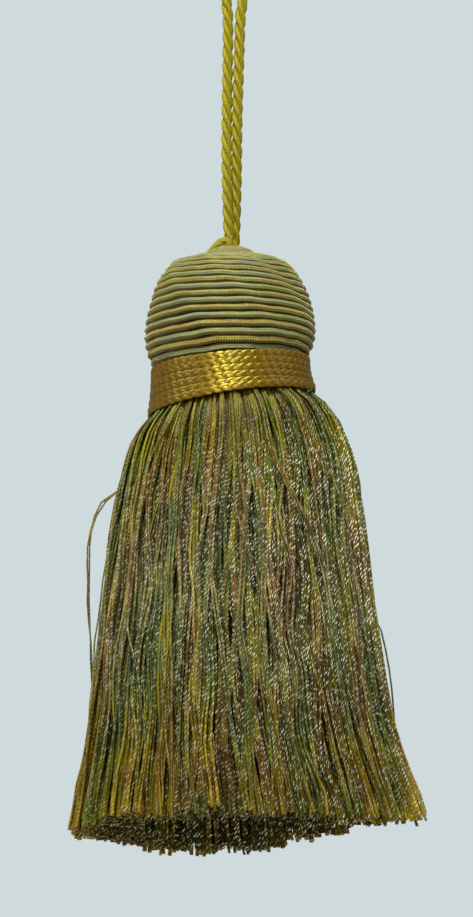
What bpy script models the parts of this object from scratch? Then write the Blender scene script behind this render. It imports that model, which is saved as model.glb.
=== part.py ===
"""A silk key tassel, hanging straight down from its doubled cord.

A wooden mould wound with two gimps carries the cord at its top. Under it a plaited gold band
is wound round the neck, over the header of a skirt of plied threads. The tassel hangs from
the inner top of its cord loop, which is the origin, and its front looks along -Y.

Heights are given as depths below the head's top, where the cord goes in.
"""

import math
import random

import bmesh
import bpy
import numpy as np
from mathutils import Vector

MM = 0.001
GAP = 0.3 * MM  # between neighbouring pieces

# Cord: one three-strand rope, doubled.
LOOP_DROP = 80 * MM  # from the loop's inner top to the head's top
CORD_DIAMETER = 2.6 * MM
CORD_GROOVE_RADIUS = 0.85 * MM
CORD_SHOULDER_RADIUS = 1.1 * MM
CORD_STRANDS = 3
CORD_LAY = 11.25 * MM  # length in which a strand goes once round
CORD_STEP = 1.35 * MM
# Height above the head, middle of the two legs in X, half their spacing, turn of the pair.
CORD_LEGS = [
    # height, middle, half_spacing, turn_deg
    (-1.7, -0.8, 1.45, 66),
    (12.0, -0.8, 1.45, 38),
    (24.0, -0.8, 1.45, 16),
    (35.0, -0.7, 1.45, 0),
    (49.0, -0.4, 1.6, 0),
    (60.0, -0.2, 1.8, 0),
    (66.0, -0.1, 2.5, 0),
    (71.0, 0.0, 3.8, 0),
    (76.1, 0.0, 5.2, 0),
    (78.7, 0.0, 4.5, 0),
    (80.6, 0.0, 2.6, 0),
]

# Head: the mould's outline over the crests of its winding.
AXIS_X = -1.2 * MM  # the head's axis, beside the plumb line through the skirt's weight
HEAD_SIDES = 34
HEAD_ROWS = 17
GIMP_GROOVE = 0.55 * MM
HEAD_OUTLINE = [
    # depth, radius
    (0.0, 3.6),
    (0.35, 5.0),
    (1.1, 6.3),
    (2.1, 7.6),
    (2.8, 10.6),
    (4.0, 14.4),
    (6.4, 16.8),
    (10.0, 18.9),
    (14.0, 20.3),
    (18.0, 21.2),
    (22.0, 21.5),
    (25.5, 20.9),
    (28.3, 19.7),
    (29.1, 19.3),
]
ROW_SHOULDERS = (0.28, 0.72)  # where a rounded row's shoulders lie between its two grooves
MOULD_FOOT_DEPTH = 31.0 * MM
MOULD_FOOT_RADIUS = 18.3 * MM
CORD_HOLE_RADIUS = 3.5 * MM
CORD_HOLE_DEPTH = 2.0 * MM
TAIL_RADIUS = 1.2 * MM  # end of the gold gimp, tucked in beside the cord
TAIL_PLACE = (-3.2 * MM, -1.5 * MM, 0.0)
TAIL_SIDES = 12
TAIL_RINGS = 7

# Neck band: turns of plaited braid.
BAND_SIDES = 48
BAND_ROWS = 5
BAND_TOP = 29.4 * MM
BAND_FOOT = 40.3 * MM
BAND_INNER_RADIUS = 18.7 * MM
BAND_TOP_RADIUS = 20.0 * MM
BAND_FOOT_RADIUS = 21.2 * MM
BAND_GROOVE = 0.5 * MM

# Skirt: a header roll with locks of thread in three layers.
HEADER_TOP = MOULD_FOOT_DEPTH + GAP
HEADER_FOOT = 39.2 * MM
HEADER_RADIUS = BAND_INNER_RADIUS - GAP
HEADER_HOLE_RADIUS = 8.5 * MM
HEADER_SIDES = 40
SKIRT_SECTIONS = [
    # depth, middle_x, half_width, half_depth of the outer layer
    (37.2, 0.0, 16.9, 16.9),
    (41.6, 0.3, 18.4, 18.2),
    (44.0, 0.8, 24.2, 21.9),
    (52.0, 1.4, 28.2, 23.6),
    (68.0, 1.7, 31.8, 24.8),
    (118.0, 2.2, 38.1, 27.2),
    (147.5, 4.3, 44.6, 29.2),
]
SKIRT_LAYERS = [
    # locks, share of the outer layer's size
    (88, 1.0),
    (62, 0.86),
    (40, 0.7),
]
LOCK_FILL = 0.68  # lock's width as a share of the room it has
LOCK_RIDGE = 0.45  # how far a lock stands out and in, as shares of its width
LOCK_BACK = 0.35
LOCK_EVENING = 0.07  # moves locks from the front and back to the sides
LOCK_WANDER = 0.06  # a lock's own drift by its hem, as a share of its room
LOCK_FLARE = 0.012  # and inwards or outwards, as a share of the skirt's size
PARTINGS = 7  # places round the skirt where the locks part a little
PARTING_DEPTH = 0.12
HEM_RAGGED = 1.2 * MM
LOOSE_THREADS = [
    # angle_deg from +X, depth where it leaves, depth where it rejoins, throw
    (180, 60, 116, 4.9),
    (4, 92, 146, 1.4),
]
LOOSE_THREAD_WIDTH = 0.7 * MM
LOOSE_THREAD_STEPS = 14
SEED = 11

# The neck was bound a little askew: it drops to the left, and the front drops a little.
SLUMP_ARM = 20 * MM
SLUMP = [
    # depth, drop at the left, drop at the front
    (10.0, 0.0, 0.0),
    (28.6, 1.6, 0.3),
    (29.4, 1.6, 0.5),
    (40.3, 2.9, 0.0),
    (50.0, 2.2, 0.0),
    (75.0, 0.0, 0.0),
]

YARNS = {
    # linear red, green and blue, then roughness
    "cord_gold": ((0.42, 0.29, 0.04), 0.5),
    "gimp_sage_and_gold": ((0.25, 0.23, 0.11), 0.45),
    "braid_gold": ((0.40, 0.24, 0.03), 0.4),
    "thread_olive": ((0.19, 0.15, 0.06), 0.5),
}
SHARP_EDGE_DEG = 60  # grooves and ridges stay crisp, rounded rows are shaded smooth
CURVE_FINENESS = 24  # samples between two of a curve's points


# ---------------------------------------------------------------- shared steps


def clear_scene():
    for obj in list(bpy.data.objects):
        bpy.data.objects.remove(obj, do_unlink=True)


def new_collection(name):
    collection = bpy.data.collections.new(name)
    bpy.context.scene.collection.children.link(collection)
    return collection


def yarn_material(name):
    color, roughness = YARNS[name]
    material = bpy.data.materials.new(name)
    material.use_nodes = True
    shader = material.node_tree.nodes["Principled BSDF"]
    shader.inputs["Base Color"].default_value = (*color, 1.0)
    shader.inputs["Roughness"].default_value = roughness
    return material


def add_object(name, data, collection, parent=None, material=None):
    obj = bpy.data.objects.new(name, data)
    collection.objects.link(obj)
    obj.parent = parent
    if material:
        data.materials.clear()
        data.materials.append(material)
    return obj


def round_off(mesh):
    """Shades a rounded piece smooth, but for its grooves and ridges."""
    mesh.shade_smooth()
    mesh.set_sharp_from_angle(angle=math.radians(SHARP_EDGE_DEG))


def evaluated_mesh(obj):
    """The mesh that an object shows, with its modifiers applied; the object is removed."""
    depsgraph = bpy.context.evaluated_depsgraph_get()
    mesh = bpy.data.meshes.new_from_object(obj.evaluated_get(depsgraph))
    bpy.data.objects.remove(obj, do_unlink=True)
    return mesh


def guide_object(name, bm, guides):
    """A solid that others are fused with; it isn't part of the tassel itself."""
    mesh = bpy.data.meshes.new(name)
    bm.to_mesh(mesh)
    bm.free()
    guide = add_object(name, mesh, guides)
    guide.hide_render = True
    guide.display_type = "WIRE"
    return guide


def fuse(obj, other):
    union = obj.modifiers.new("Fuse", "BOOLEAN")
    union.operation = "UNION"
    union.solver = "EXACT"
    union.object = other


def smooth_points(points, spacing):
    """Points at an even spacing along a smooth curve through the given ones."""
    points = [Vector(p) for p in points]
    ends = [2 * points[0] - points[1]] + points + [2 * points[-1] - points[-2]]
    fine = []
    for before, start, stop, after in zip(ends, ends[1:], ends[2:], ends[3:]):
        for t in np.linspace(0, 1, CURVE_FINENESS, endpoint=False):
            bend = (stop - before) * t + (2 * before - 5 * start + 4 * stop - after) * t**2
            bend += (3 * start - before - 3 * stop + after) * t**3
            fine.append(start + bend / 2)
    fine.append(points[-1])
    fine = np.array(fine)
    run = np.append(0, np.cumsum(np.linalg.norm(np.diff(fine, axis=0), axis=1)))
    at = np.linspace(0, run[-1], round(run[-1] / spacing) + 1)
    return np.array([np.interp(at, run, column) for column in fine.T]).T, at


def slump(mesh):
    """Lets a piece modelled square sink with the askew neck, then takes it to its height."""
    table = np.array(SLUMP) * MM
    for vertex in mesh.vertices:
        depth = -vertex.co.z
        left = np.interp(depth, table[:, 0], table[:, 1])
        front = np.interp(depth, table[:, 0], table[:, 2])
        drop = -(left * vertex.co.x + front * vertex.co.y) / SLUMP_ARM
        vertex.co.z -= drop + LOOP_DROP
        vertex.co.x += AXIS_X


def turned_mesh(profile, sides, closed, collection):
    """Turns a profile of (radius, depth) points round the Z axis with the Screw modifier."""
    mesh = bpy.data.meshes.new("profile")
    edges = [(i, i + 1) for i in range(len(profile) - 1)]
    if closed:
        edges.append((len(profile) - 1, 0))
    mesh.from_pydata([(radius, 0, -depth) for radius, depth in profile], edges, [])
    obj = add_object("profile", mesh, collection)
    screw = obj.modifiers.new("Turn", "SCREW")
    screw.axis = "Z"
    screw.steps = sides
    screw.render_steps = sides
    screw.use_merge_vertices = True
    screw.merge_threshold = 0.01 * MM
    turned = evaluated_mesh(obj)
    bpy.data.meshes.remove(mesh)
    return turned


def rib(start, stop, outward, groove):
    """One rounded row: its groove and two shoulders, between two points of an outline."""
    start, stop, outward = Vector(start), Vector(stop), Vector(outward)
    shoulders = [start.lerp(stop, share) for share in ROW_SHOULDERS]
    return [start - outward * groove] + shoulders


# ---------------------------------------------------------------- pieces


def cord_points():
    """The rope's route: up its left leg, round the loop, down its right leg."""
    legs = {-1: [], 1: []}
    for height, middle, half_spacing, turn_deg in CORD_LEGS:
        turn = math.radians(turn_deg)
        for side, leg in legs.items():
            x = middle + side * half_spacing * math.cos(turn)
            y = side * half_spacing * math.sin(turn)
            leg.append((x * MM, y * MM, height * MM - LOOP_DROP))
    top = (0.0, 0.0, CORD_DIAMETER / 2)
    return smooth_points(legs[-1] + [top] + legs[1][::-1], CORD_STEP)


def rope_section(guides):
    """Closed outline of the rope's strands, as a guide curve for the bevel."""
    radii = [
        CORD_DIAMETER / 2,
        CORD_SHOULDER_RADIUS,
        CORD_GROOVE_RADIUS,
        CORD_SHOULDER_RADIUS,
    ] * CORD_STRANDS
    outline = bpy.data.curves.new("rope_section", "CURVE")
    spline = outline.splines.new("POLY")
    spline.points.add(len(radii) - 1)
    for i, radius in enumerate(radii):
        angle = -2 * math.pi * i / len(radii)
        spline.points[i].co = (radius * math.cos(angle), radius * math.sin(angle), 0, 1)
    spline.use_cyclic_u = True
    guide = add_object("rope_section", outline, guides)
    guide.hide_render = True
    guide.display_type = "WIRE"
    return guide


def make_cord(collection, guides, parent):
    points, run = cord_points()
    curve = bpy.data.curves.new("hanging_cord", "CURVE")
    curve.dimensions = "3D"
    curve.bevel_mode = "OBJECT"
    curve.bevel_object = rope_section(guides)
    curve.use_fill_caps = True
    spline = curve.splines.new("POLY")
    spline.points.add(len(points) - 1)
    for knot, point, length in zip(spline.points, points, run):
        knot.co = (*point, 1)
        knot.tilt = -2 * math.pi * length / CORD_LAY
    add_object("hanging_cord", curve, collection, parent, yarn_material("cord_gold"))


def make_head(collection, guides, parent):
    """Mould with its winding: every turn of gimp is a row, from the cord down to the band."""
    outline = [(radius * MM, 0, depth * MM) for depth, radius in HEAD_OUTLINE]
    fine, run = smooth_points(outline, 0.1 * MM)
    marks = np.linspace(0, run[-1], HEAD_ROWS + 1)
    radii = np.interp(marks, run, fine[:, 0])
    depths = np.interp(marks, run, fine[:, 2])
    profile = [(0, CORD_HOLE_DEPTH), (CORD_HOLE_RADIUS, CORD_HOLE_DEPTH)]
    rows = list(zip(radii, depths))
    for start, stop in zip(rows, rows[1:]):
        along = (Vector(stop) - Vector(start)).normalized()
        profile += rib(start, stop, (along.y, -along.x), GIMP_GROOVE)
    profile += [
        (radii[-1] - GIMP_GROOVE, depths[-1]),
        (MOULD_FOOT_RADIUS, depths[-1]),
        (MOULD_FOOT_RADIUS, MOULD_FOOT_DEPTH),
        (0, MOULD_FOOT_DEPTH),
    ]
    winding = add_object("winding", turned_mesh(profile, HEAD_SIDES, False, collection), guides)
    fuse(winding, make_gimp_tail(guides))
    mesh = evaluated_mesh(winding)
    slump(mesh)
    round_off(mesh)
    add_object("mould_winding", mesh, collection, parent, yarn_material("gimp_sage_and_gold"))


def make_gimp_tail(guides):
    """The gold gimp's end, a small lump glued down beside the cord."""
    bm = bmesh.new()
    bmesh.ops.create_uvsphere(
        bm, u_segments=TAIL_SIDES, v_segments=TAIL_RINGS, radius=TAIL_RADIUS
    )
    bmesh.ops.translate(bm, verts=bm.verts, vec=TAIL_PLACE)
    return guide_object("gimp_tail", bm, guides)


def make_band(collection, parent):
    """Rows of braid round the neck, a little wider at the foot where the skirt pushes out."""
    marks = np.linspace(0, 1, BAND_ROWS + 1)
    radii = BAND_TOP_RADIUS + (BAND_FOOT_RADIUS - BAND_TOP_RADIUS) * marks**2
    depths = BAND_TOP + (BAND_FOOT - BAND_TOP) * marks
    rows = list(zip(radii, depths))
    profile = [(BAND_INNER_RADIUS, BAND_TOP)]
    for start, stop in zip(rows, rows[1:]):
        profile += rib(start, stop, (1, 0), BAND_GROOVE)
    profile += [(radii[-1] - BAND_GROOVE, BAND_FOOT), (BAND_INNER_RADIUS, BAND_FOOT)]
    mesh = turned_mesh(profile, BAND_SIDES, True, collection)
    slump(mesh)
    round_off(mesh)
    add_object("neck_band", mesh, collection, parent, yarn_material("braid_gold"))


def skirt_section(depth):
    """Middle in X, half width and half depth of the outer layer at a depth."""
    table = np.array(SKIRT_SECTIONS) * MM
    return [np.interp(depth, table[:, 0], column) for column in table.T[1:]]


def lock_rings(angle, room, share, drift, depths, width=None, throw=lambda depth: 0):
    """Three-cornered sections of one lock, from inside the header to its cut end."""
    rings = []
    for depth in depths:
        fallen = (depth - depths[0]) / (depths[-1] - depths[0])
        parting = PARTING_DEPTH / PARTINGS * math.sin(PARTINGS * angle)
        turned = angle + fallen * (drift["turn"] * room + parting)
        size = share + fallen * drift["flare"]
        middle, half_width, half_depth = skirt_section(depth)
        arm = Vector((half_width * math.cos(turned), half_depth * math.sin(turned), 0))
        along = Vector((-half_width * math.sin(turned), half_depth * math.cos(turned), 0))
        broad = width or LOCK_FILL * room * share * along.length
        along.normalize()
        outward = Vector((along.y, -along.x, 0))
        centre = Vector((middle, 0, -depth)) + arm * size + outward * throw(depth)
        back = centre - outward * broad * LOCK_BACK
        side = along * broad / 2
        rings.append([centre + outward * broad * LOCK_RIDGE, back + side, back - side])
    return rings


def loose_thread_rings(angle, room, leaves, rejoins, reach):
    """A single thread of the outer layer that bows out of the skirt and falls back to it."""

    def throw(depth):
        out = (depth - leaves) / (rejoins - leaves)
        return reach * math.sin(math.pi * math.sqrt(min(max(out, 0), 1)))

    own = [depth * MM for depth, *_ in SKIRT_SECTIONS]
    depths = own[:3] + list(np.linspace(own[3], own[-1], LOOSE_THREAD_STEPS))
    still = {"turn": 0, "flare": 0}
    return lock_rings(angle, room, 1.0, still, depths, LOOSE_THREAD_WIDTH, throw)


def add_lock(bm, rings):
    """Lofts one lock and closes both its ends."""
    loops = [[bm.verts.new(corner) for corner in ring] for ring in rings]
    for upper, lower in zip(loops, loops[1:]):
        for k in range(3):
            n = (k + 1) % 3
            bm.faces.new((upper[n], upper[k], lower[k], lower[n]))
    bm.faces.new(loops[0])
    bm.faces.new(loops[-1][::-1])


def make_locks(guides):
    rng = random.Random(SEED)
    bm = bmesh.new()
    for layer, (count, share) in enumerate(SKIRT_LAYERS):
        room = 2 * math.pi / count
        loose = {}
        if layer == 0:
            for angle_deg, *bow in LOOSE_THREADS:
                loose[round(math.radians(angle_deg) / room)] = [value * MM for value in bow]
        for i in range(count):
            even = room * (i + layer / 2)
            angle = even + LOCK_EVENING * math.sin(2 * even)
            depths = [depth * MM for depth, *_ in SKIRT_SECTIONS]
            depths[-1] += rng.uniform(-HEM_RAGGED, HEM_RAGGED)
            drift = {
                "turn": rng.uniform(-LOCK_WANDER, LOCK_WANDER),
                "flare": rng.uniform(-LOCK_FLARE, LOCK_FLARE),
            }
            if i in loose:
                add_lock(bm, loose_thread_rings(angle, room, *loose[i]))
            else:
                add_lock(bm, lock_rings(angle, room, share, drift, depths))
    bmesh.ops.recalc_face_normals(bm, faces=bm.faces)
    return guide_object("skirt_locks", bm, guides)


def make_skirt(collection, guides, parent):
    """Header roll inside the neck band, with every lock fused to it at its root."""
    profile = [
        (HEADER_HOLE_RADIUS, HEADER_TOP),
        (HEADER_RADIUS, HEADER_TOP),
        (HEADER_RADIUS, HEADER_FOOT),
        (HEADER_HOLE_RADIUS, HEADER_FOOT),
    ]
    header = add_object("header", turned_mesh(profile, HEADER_SIDES, True, collection), guides)
    fuse(header, make_locks(guides))
    mesh = evaluated_mesh(header)
    slump(mesh)
    round_off(mesh)
    add_object("skirt", mesh, collection, parent, yarn_material("thread_olive"))


def main():
    clear_scene()
    tassel = new_collection("silk_tassel")
    guides = new_collection("cutters_and_guides")
    root = add_object("tassel_root", None, tassel)
    make_cord(tassel, guides, root)
    make_head(tassel, guides, root)
    make_band(tassel, root)
    make_skirt(tassel, guides, root)


main()
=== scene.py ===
"""Looks of the silk key tassel: cord, gimp winding, plaited neck band and skirt of threads."""

import math

import bmesh
import bpy
import numpy as np
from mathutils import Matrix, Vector


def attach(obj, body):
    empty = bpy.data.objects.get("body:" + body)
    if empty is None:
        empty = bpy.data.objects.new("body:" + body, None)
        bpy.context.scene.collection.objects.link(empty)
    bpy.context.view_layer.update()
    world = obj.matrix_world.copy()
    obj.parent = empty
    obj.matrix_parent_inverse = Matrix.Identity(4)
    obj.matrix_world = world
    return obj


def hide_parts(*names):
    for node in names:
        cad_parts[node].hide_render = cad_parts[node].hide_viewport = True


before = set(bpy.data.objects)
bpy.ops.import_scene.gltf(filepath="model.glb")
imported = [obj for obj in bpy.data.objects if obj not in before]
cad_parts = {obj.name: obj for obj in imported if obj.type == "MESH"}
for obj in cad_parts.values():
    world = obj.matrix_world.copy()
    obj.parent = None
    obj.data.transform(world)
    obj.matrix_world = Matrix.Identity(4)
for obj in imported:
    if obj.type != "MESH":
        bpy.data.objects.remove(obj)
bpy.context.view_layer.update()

MM = 0.001


# ------------------------------------------------------------------ view and light
# The tassel hangs clear of everything, in front of pale air, with a plain floor far below.
# A lamp high in front and a weaker one lower down make the silk glint. Broad lamps at the sides
# and behind, and two that stand for light thrown back by a pale wall and floor, fill in.

VIEW_PIXELS = 917  # height of the frame
VIEW_PIXEL = 0.25 * MM  # what one of them covers at the tassel
VIEW_CENTRE = Vector((0.4, 0.0, -133.5)) * MM
VIEW_ELEVATION = -10.8
LENS = 400.0
SENSOR = 36.0
SKY_GLOW = (0.17, 0.44)  # from straight below and from straight above
NEAREST = 0.05  # that the camera sees
FLOOR_DROP = 1.2
FLOOR_SIZE = 6.0
FLOOR_GLOW = 0.4

scene = bpy.context.scene
scene.view_settings.view_transform = "Standard"


def direction(azimuth_deg, elevation_deg):
    """From the tassel towards a viewer or a lamp; azimuth 0 is the front, 90 the right."""
    turn, rise = math.radians(azimuth_deg), math.radians(elevation_deg)
    return Vector(
        (math.sin(turn) * math.cos(rise), -math.cos(turn) * math.cos(rise), math.sin(rise))
    )


def aim(obj, place, target):
    """Puts a lamp or the camera at its place, facing the target."""
    obj.location = place
    obj.rotation_mode = "QUATERNION"
    obj.rotation_quaternion = (place - target).to_track_quat("Z", "Y")
    scene.collection.objects.link(obj)


def srgb(hex_color):
    """Linear colour, with its alpha, of an sRGB hex value such as #b39b45."""
    channels = [int(hex_color[i : i + 2], 16) / 255 for i in (1, 3, 5)]
    linear = [c / 12.92 if c <= 0.04045 else ((c + 0.055) / 1.055) ** 2.4 for c in channels]
    return (*linear, 1.0)


def add_node(tree, kind, inputs=None, **settings):
    """One node with its settings, and its inputs as values or as links from other nodes.

    An input goes by its name, or by its number where names repeat: in Map Range 1 and 2 are
    what it maps from and 3 and 4 what it maps to, and in Mix 6 and 7 are the two colours.
    """
    node = tree.nodes.new(kind)
    for name, value in settings.items():
        setattr(node, name, value)
    for socket, value in (inputs or {}).items():
        if isinstance(value, bpy.types.Node):
            value = value.outputs[0]
        if isinstance(value, bpy.types.NodeSocket):
            tree.links.new(value, node.inputs[socket])
        else:
            node.inputs[socket].default_value = value
    return node


def new_material(name, **finish):
    """A material, its tree and its shader, with the shader's own sockets set."""
    material = bpy.data.materials.new(name)
    material.use_nodes = True
    shader = material.node_tree.nodes["Principled BSDF"]
    for socket, value in finish.items():
        shader.inputs[socket.replace("_", " ")].default_value = value
    return material, material.node_tree, shader


def add_object(name, mesh):
    obj = bpy.data.objects.new(name, mesh)
    scene.collection.objects.link(obj)
    return obj


camera = bpy.data.objects.new("camera", bpy.data.cameras.new("camera"))
camera.data.lens = LENS
camera.data.sensor_width = SENSOR
camera.data.clip_start = NEAREST
view_distance = LENS / SENSOR * VIEW_PIXELS * VIEW_PIXEL
aim(camera, VIEW_CENTRE + direction(0, VIEW_ELEVATION) * view_distance, VIEW_CENTRE)
scene.camera = camera

LAMPS = [
    # name, azimuth, elevation, distance, size, watts, colour, seen as a highlight
    ("key_lamp", -4, 52, 0.65, 0.12, 5.6, "#fafff0", True),
    ("front_lamp", -10, 16, 0.9, 0.08, 1.6, "#fafff0", True),
    ("left_lamp", -80, 46, 0.8, 0.4, 3.4, "#ccdcff", True),
    ("right_lamp", 82, 42, 0.8, 0.4, 1.8, "#9cbcff", True),
    ("back_lamp", 172, 30, 0.8, 0.4, 3.2, "#f4f4ec", False),
    ("wall_bounce", -112, -4, 0.6, 0.4, 1.4, "#f0eecc", False),
    ("floor_bounce", 25, -66, 0.38, 0.25, 1.1, "#fafff0", False),
]
for name, azimuth, elevation, distance, size, watts, color, glossy in LAMPS:
    lamp = bpy.data.objects.new(name, bpy.data.lights.new(name, "AREA"))
    lamp.data.shape = "DISK"
    lamp.data.size = size
    lamp.data.energy = watts
    lamp.data.color = srgb(color)[:3]
    lamp.visible_glossy = glossy
    aim(lamp, VIEW_CENTRE + direction(azimuth, elevation) * distance, VIEW_CENTRE)

surroundings = bpy.data.worlds.new("pale_surroundings")
surroundings.use_nodes = True
sky = surroundings.node_tree
way = add_node(sky, "ShaderNodeTexCoord").outputs["Generated"]
height = add_node(sky, "ShaderNodeSeparateXYZ", {"Vector": way}).outputs["Z"]
glow = add_node(
    sky, "ShaderNodeMapRange", {"Value": height, 1: -1.0, 2: 1.0, 3: SKY_GLOW[0], 4: SKY_GLOW[1]}
)
light = add_node(sky, "ShaderNodeBackground", {"Color": srgb("#fff6e6"), "Strength": glow})
backdrop = add_node(sky, "ShaderNodeBackground", {"Color": srgb("#cfdadd"), "Strength": 1.0})
seen = add_node(
    sky,
    "ShaderNodeMixShader",
    {0: add_node(sky, "ShaderNodeLightPath").outputs["Is Camera Ray"], 1: light, 2: backdrop},
)
sky.links.new(seen.outputs[0], sky.nodes["World Output"].inputs["Surface"])
scene.world = surroundings

bpy.ops.mesh.primitive_plane_add(size=FLOOR_SIZE, location=(0, 0, -FLOOR_DROP))
floor = bpy.context.object
floor.name = "floor"
floor_paint, _, _ = new_material(
    "pale_floor",  # matt paint, a little lit of itself, so that it stays as pale as the air
    Base_Color=srgb("#dcdedd"),
    Emission_Color=srgb("#dcdedd"),
    Emission_Strength=FLOOR_GLOW,
)
floor.data.materials.append(floor_paint)
floor.visible_diffuse = False
floor.visible_glossy = False


# ------------------------------------------------------------------ hanging cord
# A three-strand rope of shiny rayon, laid up to the left, its strands each spun the other way
# from a few yarns. It is doubled, and both ends go down into the hole in the mould's top.
# The eye at the top of the loop is where a hook or key carries the tassel.

LOOP_DROP = 80 * MM
CORD_DIAMETER = 2.75 * MM
CORD_LAY = 11.25 * MM
CORD_STRANDS = 3
STRAND_RADIUS = CORD_DIAMETER * 0.255
STRAND_ARM = CORD_DIAMETER * 0.245  # from the cord's middle to a strand's
CORD_YARNS = 5  # in each strand
YARN_CORNERS = 4
YARN_LAY = 5.0 * MM
YARN_CREST = 1.06  # a yarn's highest point, as a share of the strand's radius
YARN_RELIEF = 0.09  # and how far it falls to the groove beside it
CORD_STEP = 0.22 * MM
SPECKLE = 0.5 * MM
CORD_LEGS = [
    # height above the head, middle of the two legs in X, half their spacing, turn of the pair
    (-1.7, -0.8, 1.32, 66),
    (12.0, -0.8, 1.32, 38),
    (24.0, -0.8, 1.3, 16),
    (35.0, -0.7, 1.3, 0),
    (49.0, -0.4, 1.42, 0),
    (60.0, -0.2, 1.62, 0),
    (66.0, -0.1, 2.5, 0),
    (71.0, 0.0, 3.8, 0),
    (76.1, 0.0, 5.2, 0),
    (78.7, 0.0, 4.5, 0),
    (80.6, 0.0, 2.6, 0),
]
CORD_EYE_TOP = 1.3 * MM
CURVE_STEPS = 24  # between two given points of any curve


def run_along(line):
    """How far along a line each of its points lies."""
    return np.append(0, np.cumsum(np.linalg.norm(np.diff(line, axis=0), axis=1)))


def smooth_points(points, spacing):
    """Points at an even spacing along a smooth curve through the given ones."""
    points = np.array(points, float)
    ends = np.vstack([2 * points[0] - points[1], points, 2 * points[-1] - points[-2]])
    t = np.linspace(0, 1, CURVE_STEPS, endpoint=False)[:, None]
    fine = []
    for before, start, stop, after in zip(ends, ends[1:], ends[2:], ends[3:]):
        bend = (stop - before) * t + (2 * before - 5 * start + 4 * stop - after) * t**2
        bend += (3 * start - before - 3 * stop + after) * t**3
        fine.append(start + bend / 2)
    fine = np.vstack(fine + [points[-1:]])
    run = run_along(fine)
    at = np.linspace(0, run[-1], round(run[-1] / spacing) + 1)
    return np.column_stack([np.interp(at, run, column) for column in fine.T]), at


def carried_normals(path):
    """Two normals at each point of a path, carried along it without twist."""
    tangents = np.gradient(path, axis=0)
    tangents /= np.linalg.norm(tangents, axis=1, keepdims=True)
    normal = np.cross(tangents[0], (0.0, 1.0, 0.0))
    normals = []
    for tangent in tangents:
        normal = normal - tangent * (normal @ tangent)
        normal = normal / np.linalg.norm(normal)
        normals.append(normal)
    normals = np.array(normals)
    return normals, np.cross(tangents, normals)


def tube_faces(rings, sides, first):
    """Side faces and both caps of a tube whose points are listed ring by ring."""
    faces = []
    for i in range(rings - 1):
        low = first + i * sides
        for k in range(sides):
            n = (k + 1) % sides
            faces.append((low + k, low + n, low + sides + n, low + sides + k))
    faces.append(tuple(range(first + sides - 1, first - 1, -1)))
    last = first + (rings - 1) * sides
    faces.append(tuple(range(last, last + sides)))
    return faces


def make_cord():
    """The doubled rope as an object, the points of its centre line and that line's length."""
    legs = {-1: [], 1: []}
    for height, middle, half_spacing, turn_deg in CORD_LEGS:
        turn = math.radians(turn_deg)
        for side, leg in legs.items():
            x = (middle + side * half_spacing * math.cos(turn)) * MM
            y = side * half_spacing * math.sin(turn) * MM
            leg.append((x, y, height * MM - LOOP_DROP))
    route = legs[-1] + [(0.0, 0.0, CORD_EYE_TOP)] + legs[1][::-1]
    path, run = smooth_points(route, CORD_STEP)
    normals, sides_way = carried_normals(path)
    corners = CORD_YARNS * YARN_CORNERS
    around = np.linspace(0, math.tau, corners, endpoint=False)
    points, faces, crests = [], [], []
    for strand in range(CORD_STRANDS):
        turn = -math.tau * run / CORD_LAY + strand * math.tau / CORD_STRANDS
        outward = np.cos(turn)[:, None] * normals + np.sin(turn)[:, None] * sides_way
        sideways = -np.sin(turn)[:, None] * normals + np.cos(turn)[:, None] * sides_way
        yarn_turn = math.tau * run / YARN_LAY
        groove = 0.5 - 0.5 * np.cos(CORD_YARNS * (around[None, :] - yarn_turn[:, None]))
        reach = STRAND_RADIUS * (YARN_CREST - YARN_RELIEF * groove)
        rings = (path + STRAND_ARM * outward)[:, None, :]
        rings = rings + (reach * np.cos(around))[:, :, None] * outward[:, None, :]
        rings = rings + (reach * np.sin(around))[:, :, None] * sideways[:, None, :]
        faces += tube_faces(len(path), corners, strand * len(path) * corners)
        points.append(rings.reshape(-1, 3))
        crests.append(1 - groove.reshape(-1))
    mesh = bpy.data.meshes.new("hanging_rope")
    mesh.from_pydata(np.vstack(points), [], faces)
    kept = mesh.attributes.new("crest", "FLOAT", "POINT")
    kept.data.foreach_set("value", np.concatenate(crests))
    mesh.shade_smooth()
    return add_object("hanging_rope", mesh), path, run[-1]


def cord_rayon():
    """Bright rayon filament, spun: yellow gold yarns, painted shade in the grooves, faint speckle.
    """
    material, tree, shader = new_material(
        "spun_rayon_gold",
        Metallic=0.1,
        Roughness=0.62,
        Specular_IOR_Level=0.2,
        Subsurface_Weight=0.35,
        Subsurface_Radius=(1.0, 0.9, 0.3),
        Subsurface_Scale=0.6 * MM,
    )
    crest = add_node(tree, "ShaderNodeAttribute", attribute_name="crest").outputs["Fac"]
    # painted shade: the yarns' colour darkens from each crest down into the groove beside it
    body = add_node(
        tree,
        "ShaderNodeMix",
        {"Factor": crest, 6: srgb("#786c0c"), 7: srgb("#8e8010")},
        data_type="RGBA",
    )
    place = add_node(tree, "ShaderNodeTexCoord").outputs["Object"]
    speckle = add_node(
        tree, "ShaderNodeTexNoise", {"Vector": place, "Scale": 1 / SPECKLE, "Detail": 2.0}
    )
    light = add_node(
        tree, "ShaderNodeMapRange", {"Value": speckle, 1: 0.3, 2: 0.7, 3: 0.88, 4: 1.12}
    )
    tone = add_node(tree, "ShaderNodeHueSaturation", {"Value": light, "Color": body.outputs[2]})
    tree.links.new(tone.outputs["Color"], shader.inputs["Base Color"])
    return material


rope, rope_path, rope_length = make_cord()
rope.data.materials.append(cord_rayon())
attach(rope, "root")
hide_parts("hanging_cord")


# ------------------------------------------------------------------ mould and gimp winding
# A turned wooden mould, drilled for the cord. Two gimps, one gold and one sage green, are
# wound over it side by side in one double spiral, from the cord's hole down to the neck.
# Each gimp is a soft bundle of silky ends laid almost straight, so that its lines run along it.

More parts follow.
